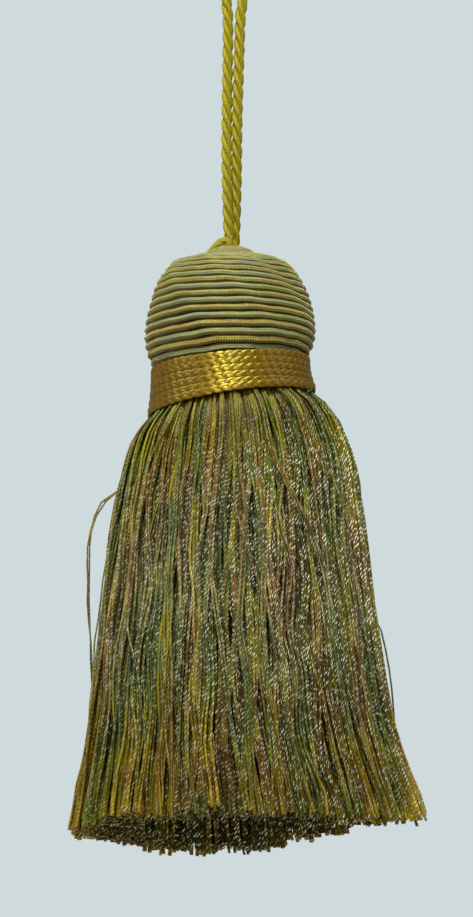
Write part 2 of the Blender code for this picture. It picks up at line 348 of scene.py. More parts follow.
AXIS_X = -1.2 * MM
HEAD_OUTLINE = [
    # depth below the head's top, radius over the gimps
    (4.0, 1.6),
    (1.4, 2.6),
    (0.0, 3.7),
    (0.35, 5.0),
    (1.1, 6.3),
    (2.1, 7.6),
    (2.8, 10.6),
    (4.0, 14.4),
    (6.4, 16.8),
    (10.0, 18.9),
    (14.0, 20.3),
    (18.0, 21.2),
    (22.0, 21.5),
    (25.5, 20.9),
    (28.3, 19.7),
    (30.4, 18.6),
    (33.0, 18.0),
]
OUTLINE_STEP = 0.05 * MM
HOLE_EDGE = 2  # the outline's line at the hole's edge
TOP_ROW = 22  # rows are counted up from the one that shows just over the band's front
BOTTOM_ROW = -1.2  # under the band
ROW_STEP = 0.01
LOWEST_ROW = 39.0 * MM  # where row 0 lies, along the outline from the hole's edge
ROW_PITCH = 2.19 * MM
ROW_TIGHTENING = 0.033 * MM  # each row is this much thinner than the one below it
WINDING_WAVES = [
    # how far the rows wave up and down in mm, waves in a turn, shift from row to row
    (0.18, 2, 0.3),
    (0.1, 5, 0.5),
    (0.09, 9, 0.8),
    (0.07, 16, 1.3),
]
LEVEL_ROWS = 8  # at the top, where the waves die out
WINDING_SWELL = 0.08 * MM
GIMP_STEP = 1.0 * MM
GIMP_ENDS = 8
GIMP = {"Radius": 0.4 * ROW_PITCH, "Sides": 4 * GIMP_ENDS, "Lobes": GIMP_ENDS, "Lobe_Depth": 0.09}
GIMP_TONES = (0.45, 1.38)  # its darkest and its lightest lines
# painted light: an end's crest is painted lighter than the grooves beside it
END_LIGHT = 0.28  # how much an end stands out in tone
WRAP_PITCH = 0.64 * MM
FILAMENT_RUN = 30 * MM  # along which a light or dark filament line fades out
BATH_RUN = 11 * MM  # from one colour of the dye to the next
# the painted shade on the gimps' undersides grows between these heights
LOWER_ROWS = (-88 * MM, -102 * MM)  # between these heights the rows grow dark underneath
SLUMP_ARM = 20 * MM
SLUMP = [
    # depth, drop at the left, drop at the front
    (10.0, 0.0, 0.0),
    (28.6, 1.6, 0.3),
    (29.4, 1.6, 0.5),
    (40.3, 2.9, 0.0),
    (50.0, 2.2, 0.0),
    (75.0, 0.0, 0.0),
]


def hang(points):
    """Takes (x, y, depth) points of the square tassel to their place, with the neck askew."""
    x, y, depth = np.array(points, float).T
    table = np.array(SLUMP) * MM
    left = np.interp(depth, table[:, 0], table[:, 1])
    front = np.interp(depth, table[:, 0], table[:, 2])
    drop = -(left * x + front * y) / SLUMP_ARM
    return np.column_stack([x + AXIS_X, y, -LOOP_DROP - depth - drop])


def guide_lines(name, lines):
    """A mesh of poly-lines from dictionaries of points and of values for the yarn to keep."""
    points = np.vstack([line["points"] for line in lines])
    edges = []
    first = 0
    for line in lines:
        last = first + len(line["points"]) - 1
        edges += [(i, i + 1) for i in range(first, last)]
        first = last + 1
    mesh = bpy.data.meshes.new(name)
    mesh.from_pydata(points, edges, [])
    for label in lines[0]:
        if label not in ("points", "out"):
            values = [np.broadcast_to(line[label], len(line["points"])) for line in lines]
            kept = mesh.attributes.new(label, "FLOAT", "POINT")
            kept.data.foreach_set("value", np.concatenate(values))
    radial = (points - (AXIS_X, 0, 0)) * (1, 1, 0)
    outward = np.vstack([line["out"] for line in lines]) if "out" in lines[0] else radial
    outward = outward / np.linalg.norm(outward, axis=1, keepdims=True)
    mesh.attributes.new("out", "FLOAT_VECTOR", "POINT").data.foreach_set("vector", outward.ravel())
    return add_object(name, mesh)


SEAM_GAP = 1e-7  # points nearer than this are one
YARN_SIZES = {
    "Radius": 1.0 * MM,
    "Flatness": 1.0,  # thickness over width
    "Sides": 8,
    "Turned": 0.0,
    "Lobes": 0,
    "Lobe Depth": 0.0,
}


def yarn_tree():
    """Geometry Nodes that lay a yarn along every guide line.

    Each guide point's 'thick' scales the radius, and 'out' is the way it faces; a yarn can be
    flatter that way. The yarn keeps 'along', its length so far in metres, and 'around', the
    place round the yarn as a cosine and a sine.
    """
    tree = bpy.data.node_groups.new("lay_yarn", "GeometryNodeTree")
    face = tree.interface
    face.new_socket("Geometry", in_out="INPUT", socket_type="NodeSocketGeometry")
    for label, size in YARN_SIZES.items():
        kind = "NodeSocketInt" if isinstance(size, int) else "NodeSocketFloat"
        face.new_socket(label, in_out="INPUT", socket_type=kind).default_value = size
    face.new_socket("Material", in_out="INPUT", socket_type="NodeSocketMaterial")
    face.new_socket("Geometry", in_out="OUTPUT", socket_type="NodeSocketGeometry")
    given = tree.nodes.new("NodeGroupInput").outputs

    # the guide line, with its radius, the way it faces and how far it is turned from there
    line = add_node(tree, "GeometryNodeMeshToCurve", {"Mesh": given["Geometry"]})
    length = add_node(tree, "GeometryNodeSplineParameter").outputs["Length"]
    line = add_node(
        tree,
        "GeometryNodeStoreNamedAttribute",
        {"Geometry": line, "Name": "along", "Value": length},
        data_type="FLOAT",
        domain="POINT",
    )
    thick = add_node(tree, "GeometryNodeInputNamedAttribute", {"Name": "thick"}, data_type="FLOAT")
    radius = add_node(tree, "ShaderNodeMath", {0: thick, 1: given["Radius"]}, operation="MULTIPLY")
    facing = add_node(
        tree, "GeometryNodeInputNamedAttribute", {"Name": "out"}, data_type="FLOAT_VECTOR"
    )
    line = add_node(
        tree, "GeometryNodeSetCurveNormal", {"Curve": line, "Normal": facing}, mode="FREE"
    )
    line = add_node(tree, "GeometryNodeSetCurveTilt", {"Curve": line, "Tilt": given["Turned"]})

    # the yarn's section: a ring with its lobes, flattened
    ring = add_node(
        tree, "GeometryNodeCurvePrimitiveCircle", {"Resolution": given["Sides"], "Radius": 1.0}
    )
    spot = add_node(tree, "GeometryNodeInputPosition")
    ring = add_node(
        tree,
        "GeometryNodeStoreNamedAttribute",
        {"Geometry": ring, "Name": "around", "Value": spot},
        data_type="FLOAT_VECTOR",
        domain="POINT",
    )
    split = add_node(tree, "ShaderNodeSeparateXYZ", {"Vector": spot})
    angle = add_node(
        tree, "ShaderNodeMath", {0: split.outputs["Y"], 1: split.outputs["X"]}, operation="ARCTAN2"
    )
    lobes = add_node(tree, "ShaderNodeMath", {0: angle, 1: given["Lobes"]}, operation="MULTIPLY")
    wave = add_node(tree, "ShaderNodeMath", {0: lobes}, operation="COSINE")
    swell = add_node(
        tree, "ShaderNodeMath", {0: wave, 1: given["Lobe Depth"], 2: 1.0}, operation="MULTIPLY_ADD"
    )
    lobed = add_node(tree, "ShaderNodeVectorMath", {0: spot, "Scale": swell}, operation="SCALE")
    flat = add_node(tree, "ShaderNodeCombineXYZ", {"X": given["Flatness"], "Y": 1.0, "Z": 1.0})
    flattened = add_node(tree, "ShaderNodeVectorMath", {0: lobed, 1: flat}, operation="MULTIPLY")
    ring = add_node(tree, "GeometryNodeSetPosition", {"Geometry": ring, "Position": flattened})

    yarn = add_node(
        tree,
        "GeometryNodeCurveToMesh",
        {"Curve": line, "Profile Curve": ring, "Scale": radius, "Fill Caps": True},
    )
    yarn = add_node(tree, "GeometryNodeRealizeInstances", {"Geometry": yarn})
    yarn = add_node(
        tree, "GeometryNodeSetMaterial", {"Geometry": yarn, "Material": given["Material"]}
    )
    add_node(tree, "NodeGroupOutput", {"Geometry": yarn})
    return tree


lay_yarn = yarn_tree()


def yarn_along(guide, name, material, **sizes):
    """Lays yarn along a guide's lines and returns it as a plain mesh; the guide is removed."""
    modifier = guide.modifiers.new("yarn", "NODES")
    modifier.node_group = lay_yarn
    sockets = {item.name: item.identifier for item in lay_yarn.interface.items_tree}
    modifier[sockets["Material"]] = material
    for label, size in sizes.items():
        modifier[sockets[label.replace("_", " ")]] = size
    depsgraph = bpy.context.evaluated_depsgraph_get()
    mesh = bpy.data.meshes.new_from_object(guide.evaluated_get(depsgraph), depsgraph=depsgraph)
    mesh.name = name
    bpy.data.objects.remove(guide)
    weld = bmesh.new()
    weld.from_mesh(mesh)
    bmesh.ops.remove_doubles(weld, verts=weld.verts, dist=SEAM_GAP)
    weld.to_mesh(mesh)
    weld.free()
    mesh.shade_smooth()
    return add_object(name, mesh)


def fit(piece, node):
    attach(piece, "root")
    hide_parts(node)


def head_rows():
    """Down the head in hundredths of a row: row, radius and depth of its middle, which way
    it faces (outward and down), and its thickness."""
    table = [(radius * MM, depth * MM) for depth, radius in HEAD_OUTLINE]
    fine, run = smooth_points(table, OUTLINE_STEP)
    run = run - run[np.argmin(np.linalg.norm(fine - table[HOLE_EDGE], axis=1))]
    slopes = np.gradient(fine, axis=0)
    slopes /= np.linalg.norm(slopes, axis=1, keepdims=True)
    rows = np.arange(TOP_ROW, BOTTOM_ROW, -ROW_STEP)
    at = LOWEST_ROW - ROW_PITCH * rows + ROW_TIGHTENING / 2 * rows**2
    pitch = ROW_PITCH - ROW_TIGHTENING * rows
    radius, depth, outward, downward = (np.interp(at, run, c) for c in np.hstack([fine, slopes]).T)
    facing = np.column_stack([downward, -outward])
    middle = np.column_stack([radius, depth]) - facing * 0.5 * pitch[:, None]
    return rows, middle, facing, pitch


def winding_line(front_row):
    """Guide line of one gimp, from the cord's hole to under the band."""
    rows, middle, facing, pitch = head_rows()
    turn = -math.pi / 2 + (front_row - rows) * math.pi
    wave = sum(reach * np.sin(n * turn + shift * rows) for reach, n, shift in WINDING_WAVES)
    depth = middle[:, 1] + wave * MM * np.clip((TOP_ROW - rows) / LEVEL_ROWS, 0, 1)
    radius = middle[:, 0] + WINDING_SWELL * np.sin(7 * turn + rows)
    line = np.column_stack([radius * np.cos(turn), radius * np.sin(turn), depth])
    run = run_along(line)
    at = np.arange(0, run[-1], GIMP_STEP)
    x, y, depth, out, up, turn, thick = (
        np.interp(at, run, c) for c in (*line.T, *facing.T, turn, pitch / ROW_PITCH)
    )
    return {
        "points": hang(np.column_stack([x, y, depth])),
        "out": np.column_stack([out * np.cos(turn), out * np.sin(turn), -up]),
        "thick": thick,
    }


def fill_ramp(ramp, stops):
    """Gives a Color Ramp node its stops: rising positions, each with a linear colour."""
    elements = ramp.color_ramp.elements
    for i, (position, color) in enumerate(stops):
        stop = elements[i] if i < 2 else elements.new(position)
        stop.position = position
        stop.color = color


def yarn_place(tree):
    """Where a point lies on its yarn: along it in metres, and round it, across and down."""
    along = add_node(tree, "ShaderNodeAttribute", attribute_name="along").outputs["Fac"]
    around = add_node(tree, "ShaderNodeAttribute", attribute_name="around").outputs["Vector"]
    split = add_node(tree, "ShaderNodeSeparateXYZ", {"Vector": around})
    return along, split.outputs["X"], split.outputs["Y"]


def filament_lines(tree, place, fade, scale, roughness):
    """Noise in fine lines along the yarn, each fading out over a given length."""
    along, across, down = place
    lengthwise = add_node(tree, "ShaderNodeMath", {0: along, 1: 1 / fade}, operation="MULTIPLY")
    spot = add_node(tree, "ShaderNodeCombineXYZ", {"X": across, "Y": down, "Z": lengthwise})
    noise = {"Vector": spot, "Scale": scale, "Detail": 3.0, "Roughness": roughness}
    return add_node(tree, "ShaderNodeTexNoise", noise)


def gimp_silk(name, dyes, wrap_height):
    """Silky space-dyed filament: fine light and dark lines along each row of gimp.

    The gold gimp is wrapped, and each turn of its wrapping is painted as a fine tick of light.
    The ends' crests are painted lighter, and their grooves and the underside darker: painted shade.
    """
    material, tree, shader = new_material(
        name,
        Roughness=0.36,
        Specular_IOR_Level=0.6,
        Sheen_Weight=1.0,
        Sheen_Roughness=0.35,
        Sheen_Tint=srgb("#dace84"),
    )
    along, across, down = yarn_place(tree)
    angle = add_node(tree, "ShaderNodeMath", {0: down, 1: across}, operation="ARCTAN2")

    # the dye changes along the gimp
    baths = add_node(tree, "ShaderNodeMath", {0: along, 1: 1 / BATH_RUN}, operation="MULTIPLY")
    bath = add_node(
        tree, "ShaderNodeTexNoise", {"W": baths, "Scale": 1.0, "Detail": 1.0}, noise_dimensions="1D"
    )
    dyed = add_node(tree, "ShaderNodeValToRGB", {"Fac": bath})
    fill_ramp(dyed, [(position, srgb(color)) for position, color in zip(BATHS, dyes)])

    # fine filament lines run along it, and it is painted lighter on its ends' crests and its wraps
    # and darker between them: painted light and shade
    filaments = filament_lines(tree, (along, across, down), FILAMENT_RUN, 13.0, 0.7)
    ends = add_node(tree, "ShaderNodeMath", {0: angle, 1: GIMP_ENDS}, operation="MULTIPLY")
    ends = add_node(tree, "ShaderNodeMath", {0: ends}, operation="COSINE")
    wraps = add_node(
        tree,
        "ShaderNodeMath",
        {0: along, 1: math.tau / WRAP_PITCH, 2: angle},
        operation="MULTIPLY_ADD",
    )
    wraps = add_node(tree, "ShaderNodeMath", {0: wraps}, operation="SINE")
    relief = add_node(
        tree, "ShaderNodeMath", {0: wraps, 1: wrap_height, 2: filaments}, operation="MULTIPLY_ADD"
    )
    light = add_node(
        tree, "ShaderNodeMath", {0: ends, 1: END_LIGHT, 2: relief}, operation="MULTIPLY_ADD"
    )
    light = add_node(
        tree,
        "ShaderNodeMapRange",
        {"Value": light, 1: 0.1, 2: 0.9, 3: GIMP_TONES[0], 4: GIMP_TONES[1]},
    )

    # painted shade: its underside is painted darker and browner, most of all low on the head
    below = add_node(tree, "ShaderNodeMapRange", {"Value": down, 1: 0.2, 2: 0.8})
    place = add_node(tree, "ShaderNodeTexCoord").outputs["Object"]
    height = add_node(tree, "ShaderNodeSeparateXYZ", {"Vector": place}).outputs["Z"]
    lower = add_node(
        tree,
        "ShaderNodeMapRange",
        {"Value": height, 1: LOWER_ROWS[0], 2: LOWER_ROWS[1], 3: 0.15, 4: 1.0},
    )
    below = add_node(tree, "ShaderNodeMath", {0: below, 1: lower}, operation="MULTIPLY")
    shaded = add_node(
        tree, "ShaderNodeMix", {"Factor": below, 6: dyed, 7: srgb("#42320e")}, data_type="RGBA"
    )
    tone = add_node(tree, "ShaderNodeHueSaturation", {"Value": light, "Color": shaded.outputs[2]})
    tree.links.new(tone.outputs["Color"], shader.inputs["Base Color"])
    bump = add_node(
        tree, "ShaderNodeBump", {"Height": relief, "Strength": 1.0, "Distance": 0.1 * MM}
    )
    tree.links.new(bump.outputs["Normal"], shader.inputs["Normal"])
    return material


BATHS = [0.3, 0.4333, 0.5, 0.7]  # places of a dye's four colours in its noise
GIMPS = [
    # name, material, row at the front, how much its wraps stand up, the dye's colours
    ("gold_gimp", "silk_gimp_gold", 1, 0.35, ["#827a20", "#887624", "#7f6a20", "#7e7a26"]),
    ("sage_gimp", "silk_gimp_sage", 0, 0.0, ["#6c742c", "#787a3a", "#777844", "#686f4e"]),
]
for name, material_name, front_row, wrap_height, dyes in GIMPS:
    gimp = yarn_along(
        guide_lines(name + "_line", [winding_line(front_row)]),
        name,
        gimp_silk(material_name, dyes, wrap_height),
        Flatness=1.2,
        **GIMP,
    )
    fit(gimp, "mould_winding")

END_STEP = 0.4  # mm
GIMP_END = [
    # the gold gimp's end, tucked in beside the cord: x, y and depth in mm
    (-0.2, -1.3, 0.6),
    (-0.6, -1.6, -1.4),
    (-1.8, -1.8, -1.5),
    (-3.0, -1.9, -0.9),
    (-4.2, -1.9, 0.2),
    (-5.4, -1.8, 1.3),
]
end_points, _ = smooth_points(GIMP_END, END_STEP)
end_line = {
    "points": hang(end_points * MM),
    "thick": np.linspace(1.6, 0.8, len(end_points)),  # frayed where it goes in
    "crest": 0.3,  # it takes the cord's colour, darker
}
end = yarn_along(
    guide_lines("gold_gimp_end_line", [end_line]),
    "gold_gimp_end",
    bpy.data.materials["spun_rayon_gold"],
    **GIMP,
)
fit(end, "mould_winding")


def turned(name, profile, sides):
    """A closed turned solid from (radius, depth) points, both ends on the axis."""
    turns = np.linspace(0, math.tau, sides, endpoint=False)
    points = [(0.0, 0.0, profile[0][1])]
    for radius, depth in profile[1:-1]:
        points += [(radius * math.cos(t), radius * math.sin(t), depth) for t in turns]
    points.append((0.0, 0.0, profile[-1][1]))
    faces = [(0, 1 + k, 1 + (k + 1) % sides) for k in range(sides)]
    for i in range(len(profile) - 3):
        low = 1 + i * sides
        for k in range(sides):
            n = (k + 1) % sides
            faces.append((low + k, low + sides + k, low + sides + n, low + n))
    low = 1 + (len(profile) - 3) * sides
    faces += [(len(points) - 1, low + (k + 1) % sides, low + k) for k in range(sides)]
    mesh = bpy.data.meshes.new(name)
    mesh.from_pydata(hang(points), [], faces)
    mesh.shade_smooth()
    return add_object(name, mesh)


def mould_beech():
    """Turned beech with its grain, painted dark brown: painted shade between the rows of gimp,
    where it shows.
    """
    material, tree, shader = new_material("beech_mould_shade_dark", Roughness=0.8)
    place = add_node(tree, "ShaderNodeTexCoord").outputs["Object"]
    grain = add_node(tree, "ShaderNodeTexNoise", {"Vector": place, "Scale": 1 / BEECH_GRAIN})
    wood = add_node(
        tree,
        "ShaderNodeMix",
        {"Factor": grain, 6: srgb("#443410"), 7: srgb("#624c1e")},
        data_type="RGBA",
    )
    tree.links.new(wood.outputs[2], shader.inputs["Base Color"])
    return material


BEECH_GRAIN = 2 * MM
MOULD_SIDES = 48
MOULD_SINK = 0.35  # how far the mould lies under the gimps' middle, in rows
MOULD_TOP_ROW = 15
MOULD_TOP = (2.9 * MM, 4.0 * MM)  # radius and depth of the flat at the bottom of the hole
MOULD_FOOT = (17.0 * MM, 31.0 * MM)

row_at, row_middle, row_facing, row_pitch = head_rows()
mould_rows = row_middle - row_facing * MOULD_SINK * row_pitch[:, None]
mould_rows = mould_rows[row_at < MOULD_TOP_ROW][::50]  # a ring at every half row
mould_profile = [(0.0, MOULD_TOP[1]), MOULD_TOP, *mould_rows, MOULD_FOOT, (0.0, MOULD_FOOT[1])]
mould = turned("wooden_mould", mould_profile, MOULD_SIDES)
mould.data.materials.append(mould_beech())
fit(mould, "mould_winding")


# ------------------------------------------------------------------ neck band
# A flat plait of three soft gold strands, wound round the neck in close turns over the
# skirt's header and stitched down. Its crossings stand up as rows of leaf-shaped stitches.

BAND_TOP = 29.4 * MM
BAND_FOOT = 40.3 * MM
BAND_TOP_RADIUS = 20.0 * MM
BAND_FOOT_RADIUS = 21.2 * MM
PLAIT_PITCH = 1.95 * MM
PLAIT_STRANDS = 3
PLAIT_START = math.radians(130)
PLAIT_STEP = 0.3 * MM
TURN_STEP = 0.0004  # of a round
STITCH = 2.5 * MM  # from one crossing to the next
STRAND_HALF_WIDTH = 0.6 * MM
STRAND_FLATNESS = 0.22
STRAND_SWING = 0.48 * MM
STRAND_RISE = 0.08 * MM
BAND_WAVE = 0.08 * MM
BAND_SHIFT = (0.1 * MM, 0.55 * MM)  # to the right, at the top and at the foot
PLAIT_FIBRE = 3 * MM  # along which a filament line fades out


def plait_line(strand):
    """Guide line of one of the plait's strands, along the band's spiral."""
    rounds = (BAND_FOOT - BAND_TOP) / PLAIT_PITCH
    turns = np.arange(0, rounds, TURN_STEP)
    fallen = np.clip((turns - 0.5) / (rounds - 1), 0, 1)  # the first and last half turn run level
    depth = BAND_TOP + PLAIT_PITCH / 2 + (BAND_FOOT - BAND_TOP - PLAIT_PITCH) * fallen
    radius = BAND_TOP_RADIUS + (BAND_FOOT_RADIUS - BAND_TOP_RADIUS) * fallen**2
    radius = radius - STRAND_RISE - STRAND_HALF_WIDTH * STRAND_FLATNESS
    angle = PLAIT_START + turns * math.tau
    run = turns * math.tau * radius[0]
    crossing = math.tau * (run / (PLAIT_STRANDS * STITCH) + strand / PLAIT_STRANDS)
    depth = depth + STRAND_SWING * np.sin(crossing)
    radius = radius + STRAND_RISE * np.sin(2 * crossing)
    depth = depth + BAND_WAVE * np.sin(3 * angle + 2 * fallen)
    right = BAND_SHIFT[0] + (BAND_SHIFT[1] - BAND_SHIFT[0]) * fallen**2
    line = np.column_stack([right + radius * np.cos(angle), radius * np.sin(angle), depth])
    run = run_along(line)
    at = np.arange(0, run[-1], PLAIT_STEP)
    points = hang(np.column_stack([np.interp(at, run, column) for column in line.T]))
    return {"points": points, "thick": 1.0}


def plait_rayon():
    """Soft floss rayon: deep gold, filament lines painted darker where low, a strong satin shine.
    """
    material, tree, shader = new_material(
        "floss_rayon_gold",
        Metallic=0.3,
        Roughness=0.4,
        IOR=1.9,
        Specular_IOR_Level=1.0,
        Specular_Tint=srgb("#f4ec64"),
        Anisotropic=0.58,
        Anisotropic_Rotation=0.25,
    )
    filaments = filament_lines(tree, yarn_place(tree), PLAIT_FIBRE, 4.0, 0.5)
    # the filaments' tone, and painted shade: darker where the bump lies low
    crest = add_node(tree, "ShaderNodeMapRange", {"Value": filaments, 1: 0.35, 2: 0.65})
    gold = add_node(
        tree,
        "ShaderNodeMix",
        {"Factor": crest, 6: srgb("#321a02"), 7: srgb("#80540c")},
        data_type="RGBA",
    )
    tree.links.new(gold.outputs[2], shader.inputs["Base Color"])
    bump = add_node(
        tree, "ShaderNodeBump", {"Height": filaments, "Strength": 0.5, "Distance": 0.05 * MM}
    )
    tree.links.new(bump.outputs["Normal"], shader.inputs["Normal"])
    return material


band = yarn_along(
    guide_lines("plait_lines", [plait_line(k) for k in range(PLAIT_STRANDS)]),
    "plaited_band",
    plait_rayon(),
    Radius=STRAND_HALF_WIDTH,
    Flatness=STRAND_FLATNESS,
    Sides=12,
)
fit(band, "neck_band")

NECK_PROFILE = [
    # radius, depth
    (0.0, 29.2),
    (18.7, 29.2),
    (19.1, 34.0),
    (20.2, 39.9),
    (0.0, 39.9),
]
neck_profile = [(radius * MM, depth * MM) for radius, depth in NECK_PROFILE]
neck = turned("bound_neck", neck_profile, MOULD_SIDES)
# the same dark brown, which stands for shade, on the core under the band
neck.data.materials.append(bpy.data.materials["beech_mould_shade_dark"])
fit(neck, "neck_band")


# ------------------------------------------------------------------ skirt
# Thousands of plied silk threads, space-dyed in olives, golds, browns and sage, sewn to a
# header that is rolled round the neck. They part into locks, wander a little, and are cut
# across at the hem. Some have glints painted where their plies turn over.

SKIRT_ROOT = 36.0 * MM
SKIRT_SECTIONS = [
    # depth, middle_x, half_width, half_depth of the outermost threads
    (36.0, 0.0, 17.0, 17.0),
    (39.4, 0.2, 18.6, 18.4),
    (40.6, 0.4, 20.6, 19.8),
    (42.0, 0.7, 22.9, 21.1),
    (47.0, 1.1, 26.2, 22.9),
    (54.0, 1.5, 29.0, 23.9),
    (60.0, 1.7, 30.5, 24.4),
    (71.0, 1.7, 32.1, 24.9),
    (82.0, 1.7, 33.5, 25.4),
    (102.0, 2.0, 36.2, 26.5),
    (122.0, 2.7, 38.8, 27.6),
    (132.0, 3.5, 41.4, 28.2),
    (140.0, 4.4, 43.8, 28.7),
    (149.0, 5.2, 46.0, 29.3),
]
THREADS = 2700
THREAD_RADIUS = 0.33 * MM  # a tenth over the real ones, so that 2,700 of them fill the skirt
THREAD_POINTS = 26
THREAD_PARTS = 4  # pieces that the threads are shared out to
ROUND_SHARE = 0.6180339887  # of a round from one thread to the next
LAYER_SHARE = 0.7548776662  # of the layers' depth from one thread to the next
INNER_LAYER = 0.36  # how far in the threads reach, as a share of the skirt's size
ROOT_OPENING = 10 * MM  # below the band, over which the pressed layers open out
SIDE_WANDER = 0.6 * MM
DEPTH_WANDER = 0.45 * MM
LOCKS = 104
LOCK_CROWN = 1.5 * MM  # how far a lock's edges lie behind its middle
HEM_DEPTH = 147.6 * MM
HEM_RAGGED = 0.5 * MM
HEM_RISES = [
    # angle in degrees from the right towards the back, rise of the hem: it is cut unevenly
    (-180, 0.0),
    (-117, 1.4),
    (-90, 0.6),
    (-45, 0.2),
    (-20, 2.4),
    (0, 5.2),
    (20, 6.0),
    (45, 5.2),
    (68, 2.6),
    (90, -0.6),
    (115, -1.4),
    (142, 0.4),
    (180, 0.0),
]
CROSSING_SHARE = 0.2  # of the threads, which lie across their neighbours
CROSSING_RISE = 0.3 * MM
# the smooth threads' sheen is painted: they are painted lighter, and get no glints
SATIN_SHARE = 0.02  # of the outer threads: smooth ones, which shine along their length
PLY_TURNS = (0.95 * MM, 1.4 * MM)  # the tightest and the loosest twist
DYE_REPEAT = 95 * MM
DYES = ["#56643a", "#7c7638", "#887e4a", "#68523a", "#6c5e44", "#7c7650", "#4c583e", "#56643a"]
RAMP_RUN = 115 * MM  # the length over which the two lists below run
# tints down the thread, each also darker under the band and low on the skirt as painted shade
TINTS_AND_SHADE = [(0.09, "#ccc43c"), (0.32, "#ece8d2"), (0.55, "#e2dcca"), (0.85, "#cebc7e")]
GLITTER = [(0.03, 0.3), (0.22, 1.0), (0.66, 1.0), (0.95, 0.7)]
GLINT_RUN = 1.3 * MM  # from one glint to the next
SEED = 5
LOOSE_THREADS = [
    # angle in degrees, depth where it leaves and where it rejoins the skirt, throw, dye
    (180, 60, 116, 6.6, 0.68),
    (181, 61, 118, 6.1, 0.72),
    (4, 92, 146, 2.8, 0.75),
]
STRAY_STRANDS = [
    # threads in the strand, place in the dye, then depth and angle where it lies on the rest
    (2, 0.76, [(41, -74), (53, -74), (58, -73), (66, -66), (79, -55), (86, -51), (147, -48)]),
    (1, 0.8, [(42, -48), (52, -52), (58, -47), (64, -40), (74, -34), (147, -26)]),
    (1, 0.76, [(42, -91), (69, -91), (80, -86), (88, -82), (95, -78), (147, -70)]),
    (1, 0.78, [(46, -127), (53, -134), (60, -137), (70, -139), (88, -140), (147, -142)]),
    (2, 0.8, [(50, -97), (61, -99), (82, -102), (104, -97), (116, -95), (147, -91)]),
    (1, 0.78, [(40, -56), (104, -48), (120, -45), (147, -41)]),
    (1, 0.76, [(40, -136), (100, -139), (110, -132), (119, -129), (147, -128)]),
]


def skirt_at(depth):
    table = np.array(SKIRT_SECTIONS) * MM
    return [np.interp(depth, table[:, 0], column) for column in table.T[1:]]


def hem_at(angle):
    degrees, rises = np.array(HEM_RISES).T
    place = (math.degrees(angle) + 180) % 360 - 180
    return HEM_DEPTH - np.interp(place, degrees, rises) * MM


def skirt_thread(rng, angle, layer, hem, turned_by=0.0, proud=0.0, wander=1.0):
    """Points of one thread; turned_by and proud are functions of depth or plain numbers."""
    depth = SKIRT_ROOT + (hem - SKIRT_ROOT) * np.linspace(0, 1, THREAD_POINTS) ** 1.25
    middle, half_width, half_depth = skirt_at(depth)
    opened = np.clip((depth - SKIRT_ROOT) / ROOT_OPENING, 0, 1)
    opened = opened * opened * (3 - 2 * opened)
    size = 1 - (1 - layer) * (0.45 + 0.55 * opened)  # pressed together under the band
    drift = [0.0, 0.0]
    for i, reach in enumerate((SIDE_WANDER * wander, DEPTH_WANDER * wander)):
        for wavelength in (rng.uniform(35, 80) * MM, rng.uniform(14, 30) * MM):
            wave = np.sin(math.tau * (depth / wavelength + rng.uniform()))
            drift[i] = drift[i] + wave * reach * rng.uniform(0.2, 1) * opened
            reach /= 2
    turn = angle + (turned_by(depth) if callable(turned_by) else turned_by)
    turn = turn + drift[0] / half_width
    swell = drift[1] + (proud(depth) if callable(proud) else proud * opened)
    x = middle + (half_width * size + swell) * np.cos(turn)
    y = (half_depth * size + swell) * np.sin(turn)
    return hang(np.column_stack([x, y, depth]))


